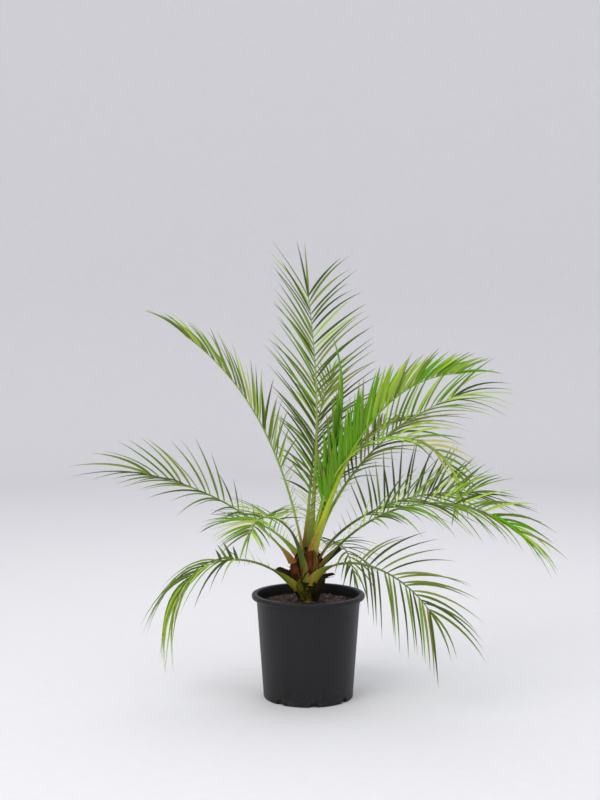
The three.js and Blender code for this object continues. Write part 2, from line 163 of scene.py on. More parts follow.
cutter = bmesh.new()
for i in range(NOTCHES):
    half = NOTCH_WIDTH / 2
    arch = [(half * math.cos(a), NOTCH_HEIGHT - half + half * math.sin(a))
            for a in (math.pi * k / 12 for k in range(13))]
    outline = [(-half, -half), (half, -half)] + arch
    near, far = ([cutter.verts.new((radius, y, z)) for y, z in outline]
                 for radius in (WALL_BASE_RADIUS - NOTCH_DEPTH, WALL_BASE_RADIUS + NOTCH_DEPTH))
    cutter.faces.new(reversed(near))
    cutter.faces.new(far)
    for k in range(len(outline)):
        m = (k + 1) % len(outline)
        cutter.faces.new((near[k], near[m], far[m], far[k]))
    turn = Matrix.Rotation(math.radians(NOTCH_TURN - 90 + 360 * i / NOTCHES), 4, "Z")
    bmesh.ops.transform(cutter, matrix=turn, verts=near + far)
notches = piece_from("notches", [], [])
cutter.to_mesh(notches.data)
cutter.free()
cut = pot.modifiers.new("notches", "BOOLEAN")
cut.object = notches
cut.operation = "DIFFERENCE"


def settle(piece):
    """Swaps a piece's mesh for what its modifiers make of it, and drops the modifiers."""
    bpy.context.view_layer.update()
    graph = bpy.context.evaluated_depsgraph_get()
    mesh = bpy.data.meshes.new_from_object(piece.evaluated_get(graph), depsgraph=graph)
    piece.modifiers.clear()
    old, piece.data = piece.data, mesh
    bpy.data.meshes.remove(old)
    mesh.name = piece.name


settle(pot)
pot.data.set_sharp_from_angle(angle=0.6)
bpy.data.objects.remove(notches)


class Wire:
    """A node's output. Each operator adds one Math node to the bench that the wire is on."""

    def __init__(self, bench, socket):
        self.bench = bench
        self.socket = socket

    def math(self, operation, first, second):
        return self.bench.node("ShaderNodeMath", {"operation": operation}, {0: first, 1: second})

    def beside(self, output):
        """Another output of the same node."""
        return Wire(self.bench, self.socket.node.outputs[output])

    def __add__(self, other):
        return self.math("ADD", self, other)

    def __sub__(self, other):
        return self.math("SUBTRACT", self, other)

    def __rsub__(self, other):
        return self.math("SUBTRACT", other, self)

    def __mul__(self, other):
        return self.math("MULTIPLY", self, other)

    def __pow__(self, other):
        return self.math("POWER", self, other)

    def __gt__(self, other):
        return self.math("GREATER_THAN", self, other)

    __radd__ = __add__
    __rmul__ = __mul__


class Bench:
    """One node tree, of a material or of a shape, and the one way of adding a node to it."""

    def __init__(self, tree):
        self.tree = tree

    def node(self, kind, settings=(), sockets=(), output=0):
        made = self.tree.nodes.new(kind)
        for name, value in dict(settings).items():
            if name == "stops":
                self.set_stops(made.color_ramp, value)
            else:
                setattr(made, name, value)
        for name, value in dict(sockets).items():
            if isinstance(value, Wire):
                self.tree.links.new(value.socket, made.inputs[name])
            else:
                made.inputs[name].default_value = value
        return Wire(self, made.outputs[output]) if made.outputs else made

    @staticmethod
    def set_stops(ramp, stops):
        while len(ramp.elements) < len(stops):
            ramp.elements.new(1.0)
        for element, (place, colour) in zip(ramp.elements, stops):
            element.position = place
            element.color = (*colour, 1)

    def vector(self, operation, sockets):
        return self.node("ShaderNodeVectorMath", {"operation": operation}, sockets)

    def speckle(self, size, stretch=(1, 1, 1), detail=4.0):
        """A soft grey noise in the object's own coordinates, its grain about size across."""
        place = self.node("ShaderNodeTexCoord", output="Object")
        scaled = self.node("ShaderNodeMapping", sockets={"Vector": place, "Scale": stretch})
        return self.node("ShaderNodeTexNoise", sockets={
            "Vector": scaled, "Scale": 1 / size, "Detail": detail})

    def ramp(self, factor, stops):
        return self.node("ShaderNodeValToRGB", {"stops": stops}, {"Fac": factor})

    def mask(self, factor, black, white):
        """Nought where the factor is at black, one where it is at white, as a plain value."""
        ends = sorted([(black, (0, 0, 0)), (white, (1, 1, 1))])
        return self.node("ShaderNodeRGBToBW", sockets={"Color": self.ramp(factor, ends)})

    def blend(self, factor, first, second):
        """One colour over another; a colour is a wire or three numbers."""
        colours = [c if isinstance(c, Wire) else (*c, 1) for c in (first, second)]
        sockets = {0: factor, 6: colours[0], 7: colours[1]}
        return self.node("ShaderNodeMix", {"data_type": "RGBA"}, sockets, output=2)

    def relief(self, height, depth, strength):
        return self.node("ShaderNodeBump", sockets={
            "Height": height, "Distance": depth, "Strength": strength})


def material_of(name, recipe):
    """A material whose recipe takes a bench and returns the sockets of its surface shader."""
    material = bpy.data.materials.new(name)
    material.use_nodes = True
    material.node_tree.nodes.clear()
    bench = Bench(material.node_tree)
    shader = bench.node("ShaderNodeBsdfPrincipled", sockets=recipe(bench))
    bench.node("ShaderNodeOutputMaterial", sockets={"Surface": shader})
    return material


DUST_HEIGHT = 40 * MM


def black_plastic(bench):
    height = bench.node("ShaderNodeSeparateXYZ", sockets={
        "Vector": bench.node("ShaderNodeTexCoord", output="Object")}, output="Z")
    streaks = bench.speckle(0.02, stretch=(1, 1, 0.12))
    body = bench.ramp(streaks, [(0.3, (0.004, 0.004, 0.005)), (0.75, (0.009, 0.009, 0.010))])
    dusty = bench.mask(height * (1 / DUST_HEIGHT), 1.0, 0.0) * bench.mask(bench.speckle(0.006), 0.52, 0.72)
    return {
        "Base Color": bench.blend(dusty * 0.35, body, (0.09, 0.085, 0.08)),
        "Roughness": 0.36 + streaks * 0.2,
        "Specular IOR Level": 0.34,
        "Normal": bench.relief(bench.speckle(0.0015), 0.0002, 0.25),
    }


pot.data.materials.append(material_of("black_plastic", black_plastic))
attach(pot, "root")
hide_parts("pot")


# ---------------------------------------------------------------- potting mix
# The mix is moist composted bark, a little lower at the pot's wall and lumpy on top. It fills
# the pot, so it is a closed lump with a flat underside, cut clear of the wall.

MIX_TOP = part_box("potting_mix")[1].z
MIX_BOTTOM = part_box("potting_mix")[0].z
MIX_DROP = 4 * MM
MIX_FLAT = 34 * MM
MIX_CLEAR = 0.4 * MM
MIX_LUMP = 2.4 * MM
LUMPS, CRUMBS = 90, 420  # to a metre
MIX_SIDES, MIX_RINGS = 120, 34
mix_reach = wall_radius(MIX_TOP - MIX_DROP) - WALL - MIX_CLEAR


def mix_height(x, y):
    """Height of the mix's lumpy surface over a place in the pot."""
    out = max(0.0, math.hypot(x, y) - MIX_FLAT) / (mix_reach - MIX_FLAT)
    lumps = noise.fractal(Vector((x, y, 0)) * LUMPS, 0.8, 2.1, 4)
    fine = noise.noise(Vector((x, y, 3)) * CRUMBS)
    return MIX_TOP - MIX_DROP * out ** 2 + MIX_LUMP * (0.6 * lumps + 0.3 * fine) * min(1, 2 * out)


mix_points, mix_faces = turned(
    [(0, MIX_BOTTOM), (wall_radius(MIX_BOTTOM) - WALL - MIX_CLEAR, MIX_BOTTOM)]
    + [(mix_reach * (1 - i / MIX_RINGS), MIX_TOP) for i in range(MIX_RINGS + 1)], MIX_SIDES)
surface_start = 1 + MIX_SIDES
mix_points = mix_points[:surface_start] + [
    (x, y, mix_height(x, y)) for x, y, z in mix_points[surface_start:]]
potting_mix = piece_from("potting_mix_surface", mix_points, mix_faces)


def damp_bark(bench):
    grain = bench.speckle(0.004, detail=6.0)
    patches = bench.speckle(0.02)
    dark = bench.ramp(grain, [(0.3, (0.005, 0.003, 0.003)), (0.7, (0.028, 0.015, 0.012))])
    return {
        "Base Color": bench.blend(patches * 0.5, dark, (0.030, 0.015, 0.014)),
        "Roughness": 0.8 + grain * 0.2,
        "Normal": bench.relief(grain, 0.0016, 0.9),
    }


potting_mix.data.materials.append(material_of("damp_bark", damp_bark))
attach(potting_mix, "root")
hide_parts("potting_mix")


# ------------------------------------------------------------------ bark chips
# Loose chips of pine bark lie on the mix, brown and purple-brown, dry on top. They are
# scattered over it by nodes: each chip is one rough slab, turned and sized at random.

CHIP_DENSITY = 26000
CHIP_SIZES = ((3.5 * MM, 2.5 * MM, 1.2 * MM), (11 * MM, 6.5 * MM, 2.6 * MM))
CHIP_TILT = 0.35
CHIP_LIFT = 0.4 * MM
CHIP_BED = (0.93 * mix_reach, 0.5 * mix_reach, 20 * MM)  # radii of the rings they lie between
CHIP_FINISHES = (("bark_dark", (0.014, 0.007, 0.006)), ("bark_purple", (0.050, 0.019, 0.020)),
                 ("bark_brown", (0.036, 0.017, 0.010)), ("bark_dry", (0.095, 0.058, 0.044)))


def rough_slab():
    """Mesh of one chip, about one unit across, with broken corners."""
    dice = random.Random(11)
    slab = bmesh.new()
    bmesh.ops.create_icosphere(slab, subdivisions=1, radius=0.5)
    for vert in slab.verts:
        for axis, power, least, most in ((0, 0.6, 0.7, 0.95), (1, 0.7, 0.65, 0.95), (2, 0.5, 0.6, 0.8)):
            out = vert.co[axis]
            vert.co[axis] = math.copysign(abs(out) ** power, out) * dice.uniform(least, most)
    mesh = bpy.data.meshes.new("rough_slab")
    slab.to_mesh(mesh)
    slab.free()
    return mesh


def node_shape(name, inputs, recipe):
    """A Geometry Nodes tree. Its recipe takes the bench and the inputs' wires by name, and
    returns the wire of the finished geometry."""
    tree = bpy.data.node_groups.new(name, "GeometryNodeTree")
    tree.interface.new_socket("Geometry", in_out="OUTPUT", socket_type="NodeSocketGeometry")
    for socket, kind in inputs.items():
        tree.interface.new_socket(socket, in_out="INPUT", socket_type="NodeSocket" + kind)
    bench = Bench(tree)
    entry = bench.node("NodeGroupInput")
    wires = {socket: entry.beside(socket) for socket in inputs}
    bench.node("NodeGroupOutput", sockets={"Geometry": recipe(bench, wires)})
    return tree


def grow(name, mesh, tree, values):
    """A piece made by running a mesh through a tree, with its inputs set by name."""
    made = placed(name, mesh)
    growth = made.modifiers.new(tree.name, "NODES")
    growth.node_group = tree
    for socket in tree.interface.items_tree:
        if socket.in_out == "INPUT" and socket.name in values:
            growth[socket.identifier] = values[socket.name]
    settle(made)
    return made


def stored(bench, name, kind):
    """What points or faces keep under a name."""
    return bench.node("GeometryNodeInputNamedAttribute", {"data_type": kind}, {"Name": name})


def by_chance(bench, kind, low, high, seed):
    """A random value between two, of a kind of number."""
    place = ("FLOAT_VECTOR", "FLOAT", "INT").index(kind)
    return bench.node("FunctionNodeRandomValue", {"data_type": kind},
                      {2 * place: low, 2 * place + 1: high, "Seed": seed}, output=place)


def set_out(bench, pattern, spots, turn, size):
    """A template object, which only nodes read, set on every spot."""
    shape = bench.node("GeometryNodeObjectInfo", sockets={"Object": pattern}, output="Geometry")
    return bench.node("GeometryNodeInstanceOnPoints", sockets={
        "Points": spots, "Instance": shape, "Rotation": turn, "Scale": size})


def pick(bench, shape, finishes, tone):
    """Gives each finish to the faces whose tone is its place in the list."""
    for place, finish in enumerate(finishes):
        chosen = bench.node("FunctionNodeCompare", {"data_type": "INT", "operation": "EQUAL"},
                            {2: tone, 3: place})
        shape = bench.node("GeometryNodeSetMaterial", sockets={
            "Geometry": shape, "Selection": chosen, "Material": finish})
    return shape


def mottled(bench, instances, finishes):
    """Real meshes in place of instances, each in one of the finishes by chance."""
    tone = by_chance(bench, "INT", 0, len(finishes) - 1, 5)
    named = bench.node("GeometryNodeStoreNamedAttribute", {"data_type": "INT", "domain": "INSTANCE"}, {
        "Geometry": instances, "Name": "tone", "Value": tone})
    loose = bench.node("GeometryNodeRealizeInstances", sockets={"Geometry": named})
    return pick(bench, loose, finishes, stored(bench, "tone", "INT"))


def bark_finish(colour):
    def recipe(bench):
        grain = bench.speckle(0.0018, stretch=(1, 0.3, 1))
        pale = tuple(min(1, 1.9 * c + 0.01) for c in colour)
        return {
            "Base Color": bench.ramp(grain, [(0.35, colour), (0.7, pale)]),
            "Roughness": 0.75 + grain * 0.2,
            "Normal": bench.relief(grain, 0.0005, 0.8),
        }
    return recipe


chip_finishes = [material_of(name, bark_finish(colour)) for name, colour in CHIP_FINISHES]


def scattered_chips(bench, wires):
    normal = bench.node("GeometryNodeInputNormal")
    upward = bench.node("ShaderNodeSeparateXYZ", sockets={"Vector": normal}, output="Z") > 0.5
    spots = bench.node("GeometryNodeDistributePointsOnFaces", sockets={
        "Mesh": wires["Geometry"], "Selection": upward, "Density": wires["Density"],
        "Seed": wires["Seed"]})
    turn = by_chance(bench, "FLOAT_VECTOR", (-CHIP_TILT, -CHIP_TILT, 0),
                     (CHIP_TILT, CHIP_TILT, 2 * math.pi), 2)
    size = by_chance(bench, "FLOAT_VECTOR", wires["Smallest"], wires["Largest"], 3)
    return mottled(bench, set_out(bench, wires["Chip"], spots, turn, size), chip_finishes)


chip_template = placed("chip_template", rough_slab())
chip_tree = node_shape("scattered_chips", {
    "Geometry": "Geometry", "Chip": "Object", "Density": "Float", "Seed": "Int",
    "Smallest": "Vector", "Largest": "Vector"}, scattered_chips)
bed_points, bed_faces = turned([(radius, 0) for radius in CHIP_BED], 90)
bed = bpy.data.meshes.new("chip_bed")
bed.from_pydata([(x, y, mix_height(x, y) + CHIP_LIFT) for x, y, z in bed_points], [], bed_faces)
bark_chips = grow("bark_chips", bed, chip_tree, {
    "Chip": chip_template, "Density": CHIP_DENSITY, "Seed": 4,
    "Smallest": CHIP_SIZES[0], "Largest": CHIP_SIZES[1]})
bpy.data.objects.remove(chip_template)
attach(bark_chips, "root")


# ----------------------------------------------------------------------- trunk
# The trunk is a short fibrous stem, flared at the foot, swollen above it and blunt on top,
# ringed by the scars of old leaves. Its relief is a three-start spiral of scars with
# upright fibres between them.

TRUNK_FOOT, TRUNK_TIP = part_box("trunk")[0].z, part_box("trunk")[1].z
TRUNK_SHAPE = [(0, 18), (4, 16), (12, 20), (22, 26), (40, 28), (58, 26), (74, 21), (88, 14), (97, 8),
               (99, 0)]
TRUNK_ROWS, TRUNK_SIDES = 90, 120
SCAR_PITCH = 12 * MM
SCAR_STARTS = 3
SCAR_DEPTH = 1.5 * MM
FIBRE_DEPTH = 0.7 * MM
FIBRES, LUMPS_ROUND = 12, 2  # how finely the relief varies round the trunk
FIBRE_RISE, LUMP_RISE = 40, 60  # and up it


def trunk_radius(height):
    """Radius of the trunk at a height over its foot, by straight steps between its sizes."""
    for (low, first), (high, second) in zip(TRUNK_SHAPE, TRUNK_SHAPE[1:]):
        if height <= high * MM:
            share = max(0.0, height / MM - low) / (high - low)
            return MM * (first + (second - first) * share)
    return 0.0


def trunk_ring(row):
    """One ring of the trunk's bark, of the rows from its foot to just under its tip."""
    height = (TRUNK_TIP - TRUNK_FOOT) * 0.995 * row / (TRUNK_ROWS - 1)
    ring = []
    for k in range(TRUNK_SIDES):
        angle = 2 * math.pi * k / TRUNK_SIDES
        spiral = (height / SCAR_PITCH + SCAR_STARTS * angle / (2 * math.pi)) % 1
        round_x, round_y = math.cos(angle), math.sin(angle)
        fibre = noise.noise(Vector((round_x * FIBRES, round_y * FIBRES, height * FIBRE_RISE)))
        lumps = noise.noise(Vector((round_x * LUMPS_ROUND, round_y * LUMPS_ROUND, height * LUMP_RISE)))
        relief = SCAR_DEPTH * (spiral - 0.5) + FIBRE_DEPTH * (fibre + lumps)
        radius = max(0.5 * MM, trunk_radius(height) + relief * min(1, 20 * row / TRUNK_ROWS))
        ring.append((radius * round_x, radius * round_y, TRUNK_FOOT + height))
    return ring


trunk_rings = [trunk_ring(row) for row in range(TRUNK_ROWS)]
trunk = piece_from("trunk_bark", *skin([[(0, 0, TRUNK_FOOT)], *trunk_rings, [(0, 0, TRUNK_TIP)]]), crease=0.9)


def fibrous(dark, light, edge, grain_size=0.0022, depth=0.0012):
    """A recipe for dry fibre that runs upwards: dark in the hollows of its relief, which is painted shade,
    and pale where it is worn.
    """
    def recipe(bench):
        threads = bench.speckle(grain_size, stretch=(1, 1, 0.14), detail=5.0)
        patches = bench.speckle(0.012)
        # The dark colour sits where the threads' relief is sunk: painted shade in its hollows.
        body = bench.ramp(threads, [(0.32, dark), (0.62, light), (0.85, edge)])
        return {
            "Base Color": bench.blend(patches * 0.45, body, dark),
            "Roughness": 0.78 + threads * 0.2,
            "Specular IOR Level": 0.15,
            "Normal": bench.relief(threads, depth, 0.9),
        }
    return recipe


trunk.data.materials.append(material_of("trunk_fibre", fibrous(
    (0.008, 0.005, 0.002), (0.032, 0.017, 0.006), (0.10, 0.055, 0.018))))
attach(trunk, "root")
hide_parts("trunk")


# ------------------------------------------------------------------ leaf boots
# What is left of old leaves clasps the trunk like shingles: broad at the foot, narrower and
# torn at the top, leaning out a little. Each is a closed shell that hugs the trunk, set at
# the plant's own angle of turn from the one below.

GOLDEN_TURN = 137.5
BOOTS = 15
BOOT_FIRST, BOOT_LAST = 1 * MM, 38 * MM
BOOT_HEIGHT = 31 * MM
BOOT_SPREAD = (44, 17)
BOOT_LEAN = 4.0 * MM
BOOT_THICK = 2.6 * MM
BOOT_TEAR = 7 * MM
SHELL_GRID = (14, 10)
SHELL_CLEAR = 0.3 * MM
SHELL_WRINKLE = 0.35 * MM
CORNER_DROP = 0.28  # the corners of its top are lower by this share
# The lowest in front still have some green. Each row: azimuth, height over the trunk's foot,
# length, half angles at its foot and top, and how far it leans out.
GREEN_BOOTS = [(243, 5 * MM, 38 * MM, (28, 12), 7 * MM), (268, 1 * MM, 30 * MM, (26, 10), 7 * MM)]


def shell(outer, inner, across, up):
    """Points and faces of a closed shell between two surfaces of (across, up) shares."""
    count = (across + 1) * (up + 1)
    points = [side(i / across, j / up) for side in (outer, inner)
              for j in range(up + 1) for i in range(across + 1)]
    faces = []
    for j in range(up):
        for i in range(across):
            a = j * (across + 1) + i
            b = a + across + 1
            faces.append((a, a + 1, b + 1, b))
            faces.append((count + a, count + b, count + b + 1, count + a + 1))
    border = list(range(across + 1))
    border += [j * (across + 1) + across for j in range(1, up + 1)]
    border += [up * (across + 1) + i for i in range(across - 1, -1, -1)]
    border += [j * (across + 1) for j in range(up - 1, 0, -1)]
    for a, b in zip(border, border[1:] + border[:1]):
        faces.append((b, a, count + a, count + b))
    return points, faces


def hugging(azimuth, low, tall, spread, lean, thick, tear, seed):
    """A shell that hugs the trunk from low up, between two half angles in degrees."""
    def face(lift):
        def at(u, v):
            side = 2 * u - 1
            ragged = tear * noise.noise(Vector((seed, 7 * side, 0.3))) * v ** 3
            height = low + tall * v * (1 - CORNER_DROP * side * side) + ragged
            half = spread[0] + (spread[1] - spread[0]) * v ** 0.8
            angle = math.radians(azimuth + half * side)
            bulge = lift * (1 - 0.75 * side * side) * (1 - 0.6 * v)
            radius = trunk_radius(height) + SHELL_CLEAR + lean * v * v + bulge
            wrinkle = SHELL_WRINKLE * noise.noise(Vector((seed, 16 * side, height * 60)))
            radius += wrinkle if lift else 0
            return (radius * math.cos(angle), radius * math.sin(angle), TRUNK_FOOT + height)
        return at
    return shell(face(thick), face(0), *SHELL_GRID)


def joined(name, parts, crease=0.8):
    """One piece from several lists of points and faces."""
    points, faces = [], []
    for part_points, part_faces in parts:
        start = len(points)
        points += part_points
        faces += [tuple(start + corner for corner in face) for face in part_faces]
    return piece_from(name, points, faces, crease)


def wrapped(name, rows, thick, tear, seeds):
    """One piece of several shells that hug the trunk, one for each row."""
    return joined(name, [hugging(*row, thick, tear, seed) for row, seed in zip(rows, seeds)])


boot_step = (BOOT_LAST - BOOT_FIRST) / (BOOTS - 1)
boot_rows = [(200 + GOLDEN_TURN * i, BOOT_FIRST + boot_step * i, BOOT_HEIGHT, BOOT_SPREAD, BOOT_LEAN)
             for i in range(BOOTS)]
leaf_boots = wrapped("leaf_boots", boot_rows, BOOT_THICK, BOOT_TEAR, [10 + 3.7 * i for i in range(BOOTS)])
leaf_boots.data.materials.append(material_of("old_boot", fibrous(
    (0.010, 0.008, 0.002), (0.042, 0.033, 0.008), (0.15, 0.11, 0.030), 0.003)))
green_boots = wrapped("green_boots", GREEN_BOOTS, BOOT_THICK, BOOT_TEAR, (30, 31))
fading_green = fibrous((0.060, 0.055, 0.006), (0.230, 0.205, 0.022), (0.46, 0.34, 0.12), 0.0036, 0.0006)
green_boots.data.materials.append(material_of("fading_green", fading_green))
for piece in (leaf_boots, green_boots):
    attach(piece, "root")


# --------------------------------------------------------------- fibre sheaths
# The youngest leaf bases are wrapped in reddish-brown matted fibre, torn along its top. It
# is thin shells round the head of the trunk, with loose threads scattered over them, and in
# front two tan strips of the base of an older leaf.

# Rows as for the green boots.
SHEATHS = [
    (284, 38 * MM, 62 * MM, (50, 32), 10 * MM),
    (212, 30 * MM, 50 * MM, (40, 24), 9 * MM),
    (30, 40 * MM, 52 * MM, (52, 30), 6 * MM),
    (150, 38 * MM, 54 * MM, (56, 30), 6 * MM),
]
STRIPS = [
    (297, 44 * MM, 52 * MM, (13, 7), 13 * MM),
    (262, 52 * MM, 46 * MM, (7, 4), 13 * MM),
]
THREAD_DENSITY = 15000
THREAD_THICK = 0.24 * MM
THREAD_LENGTH = (8 * MM, 20 * MM)
THREAD_STRAY = ((-0.28, -0.28, 0.8), (0.28, 0.28, 1.1))  # it points up, more or less
THREAD_LIFT = 0.10

fibre_sheath = wrapped("fibre_sheath", SHEATHS, 1.6 * MM, 9 * MM, (60, 61, 62, 63))
fibre_sheath.data.materials.append(material_of("red_fibre", fibrous(
    (0.050, 0.011, 0.002), (0.190, 0.052, 0.009), (0.44, 0.19, 0.040), 0.0016, 0.0006)))
sheath_strip = wrapped("sheath_strip", STRIPS, 1.2 * MM, 6 * MM, (80, 81))
sheath_strip.data.materials.append(material_of("tan_fibre", fibrous(
    (0.090, 0.055, 0.014), (0.27, 0.19, 0.050), (0.50, 0.37, 0.11), 0.0016, 0.0004)))
thread_finishes = [material_of("thread_red", bark_finish((0.13, 0.036, 0.012))),
                   material_of("thread_tan", bark_finish((0.24, 0.11, 0.035)))]


def thread_mesh():
    """One thread, a straight three-sided hair of unit length that ends in a point."""
    rings = [[(x, y, j / 5) for x, y, z in circle(0.5 * (1 - j / 5), 0, 3)] for j in range(5)]
    points, faces = skin([*rings, [(0, 0, 1)]], capped=True)
    mesh = bpy.data.meshes.new("thread")
    mesh.from_pydata(points, [], faces)
    return mesh


def loose_threads(bench, wires):
    spots = bench.node("GeometryNodeDistributePointsOnFaces", sockets={
        "Mesh": wires["Geometry"], "Density": wires["Density"], "Seed": wires["Seed"]})
    stray = by_chance(bench, "FLOAT_VECTOR", *THREAD_STRAY, 2)
    out = bench.vector("SCALE", {0: spots.beside("Normal"), "Scale": THREAD_LIFT})
    turn = bench.node("FunctionNodeAlignRotationToVector", {"axis": "Z"}, {
        "Vector": bench.vector("ADD", {0: stray, 1: out})})
    thick = wires["Thickness"]
    size = bench.node("ShaderNodeCombineXYZ", sockets={
        "X": thick, "Y": thick, "Z": by_chance(bench, "FLOAT", wires["Shortest"], wires["Longest"], 3)})
    return mottled(bench, set_out(bench, wires["Thread"], spots, turn, size), thread_finishes)


thread_template = placed("thread_template", thread_mesh())
thread_tree = node_shape("loose_threads", {
    "Geometry": "Geometry", "Thread": "Object", "Density": "Float", "Seed": "Int",
    "Thickness": "Float", "Shortest": "Float", "Longest": "Float"}, loose_threads)
sheath_threads = grow("sheath_threads", fibre_sheath.data.copy(), thread_tree, {
    "Thread": thread_template, "Density": THREAD_DENSITY, "Seed": 8, "Thickness": THREAD_THICK,
    "Shortest": THREAD_LENGTH[0], "Longest": THREAD_LENGTH[1]})
bpy.data.objects.remove(thread_template)
for piece in (fibre_sheath, sheath_strip, sheath_threads):
    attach(piece, "root")


# ----------------------------------------------------------------- cut stubs
# Stubs of fronds that were cut away stand out of the trunk: dry, dark brown, hollow along
# the top and torn to splinters at the end. Each is lofted along its own short line.

STUB_SEAT = 2
STUB_FALL = 12
STUB_NARROWING = 0.45
STUB_FLATNESS = 0.45
STUB_RINGS, STUB_SIDES = 24, 20
STUB_HOLLOW = 0.5
STUB_ROUGH = (0.7 * MM, 0.5 * MM)
TORN_FROM = 0.7
STUB_SPLINTER = 20 * MM
STUB_THINNING = 0.7
STUBS = [
    dict(name="stub_right_upper", height=44, azimuth=346, rise=50, length=84, width=18, roll=-70),
    dict(name="stub_right_lower", height=36, azimuth=12, rise=20, length=44, width=15, roll=-50),
    dict(name="stub_left", height=28, azimuth=176, rise=36, length=62, width=18, roll=70),
    dict(name="stub_back", height=44, azimuth=106, rise=46, length=66, width=17, roll=0),
    dict(name="stub_back_left", height=24, azimuth=140, rise=40, length=50, width=16, roll=0),
    dict(name="stub_front", height=3, azimuth=264, rise=40, length=42, width=20, roll=0),
]


def heading(habit, t):
    """Direction, side and back of a limb at share t of its length: it falls from its first
    elevation, turns from its first azimuth, and rolls its blade over as it goes."""
    elevation = math.radians(habit["rise"] - habit["fall"] * t ** habit["bend"])
    azimuth = math.radians(habit["azimuth"] + habit["turn"] * t)
    along = Vector((math.cos(elevation) * math.cos(azimuth), math.cos(elevation) * math.sin(azimuth),
                    math.sin(elevation)))
    side = Vector((math.sin(azimuth), -math.cos(azimuth), 0))
    back = side.cross(along)
    roll = math.radians(habit["roll"]) * (1 - (1 - t) ** 2)
    return (along, side * math.cos(roll) + back * math.sin(roll),
            back * math.cos(roll) - side * math.sin(roll))


def centre_line(habit, steps=48):
    """Stops along a limb's middle, from its seat on the trunk, as even steps."""
    seat = math.radians(habit["seat"])
    stops = [Vector((habit["radius"] * MM * math.cos(seat), habit["radius"] * MM * math.sin(seat),
                     MIX_TOP + habit["height"] * MM))]
    for i in range(steps):
        along = heading(habit, (i + 0.5) / steps)[0]
        stops.append(stops[-1] + along * (habit["length"] * MM / steps))
    return stops


def place_on(stops, t):
    """The point at share t of a centre line."""
    spot = min(max(t, 0), 1) * (len(stops) - 1)
    i = min(int(spot), len(stops) - 2)
    return stops[i].lerp(stops[i + 1], spot - i)


def section(centre, side, back, width, thick, hollow, sides):
    """A ring of a leaf stalk: an oval whose upper face is sunk by a hollow along its middle."""
    ring = []
    for k in range(sides):
        angle = 2 * math.pi * k / sides
        across, up = math.cos(angle), -math.sin(angle)
        dip = hollow * thick * max(0.0, up) ** 2
        ring.append(centre + side * (0.5 * width * across) + back * (0.5 * thick * up - dip))
    return ring


dry_stalk = material_of("dry_stalk", fibrous(
    (0.012, 0.007, 0.003), (0.050, 0.029, 0.010), (0.20, 0.13, 0.055), 0.0026))
fading_stalk = material_of("fading_stalk", fading_green)
for number, stub in enumerate(STUBS):
    habit = {**stub, "radius": STUB_SEAT, "seat": stub["azimuth"], "fall": STUB_FALL, "bend": 1,
             "turn": 0}
    line = centre_line(habit, 16)
    rings = []
    for j in range(STUB_RINGS + 1):
        t = j / STUB_RINGS
        along, side, back = heading(habit, t)
        width = stub["width"] * MM * (1 - STUB_NARROWING * t)
        late = max(0.0, (t - TORN_FROM) / (1 - TORN_FROM))
        thick = STUB_FLATNESS * width * (1 - STUB_THINNING * late)
        ring = section(place_on(line, t), side, back, width, thick, STUB_HOLLOW, STUB_SIDES)
        splinter = STUB_SPLINTER * late ** 1.5
        for k, corner in enumerate(ring):
            rough = noise.noise(Vector((number * 5, k * 0.9, j * 0.16)))
            torn = 1.4 * noise.noise(Vector((number * 7 + 3.5, k * 2.37, 0.5))) - 0.3
            corner += (back * (STUB_ROUGH[0] * rough) + side * (STUB_ROUGH[1] * rough)
                       + along * (splinter * torn))
        rings.append(ring)
    piece = piece_from(stub["name"] + "_torn", *skin(rings, capped=True), crease=0.9)
    piece.data.materials.append(fading_stalk if stub["name"] == "stub_front" else dry_stalk)
    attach(piece, "root")
    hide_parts(stub["name"])


# -------------------------------------------------------------------- frond ribs
# Each frond arches out of the trunk on a rib that starts as a broad, hollow petiole, with
# dry orange-brown margins where it clasps the trunk, and thins to a wire. The rule of every
# frond is the same, and its own few sizes stand in its row.

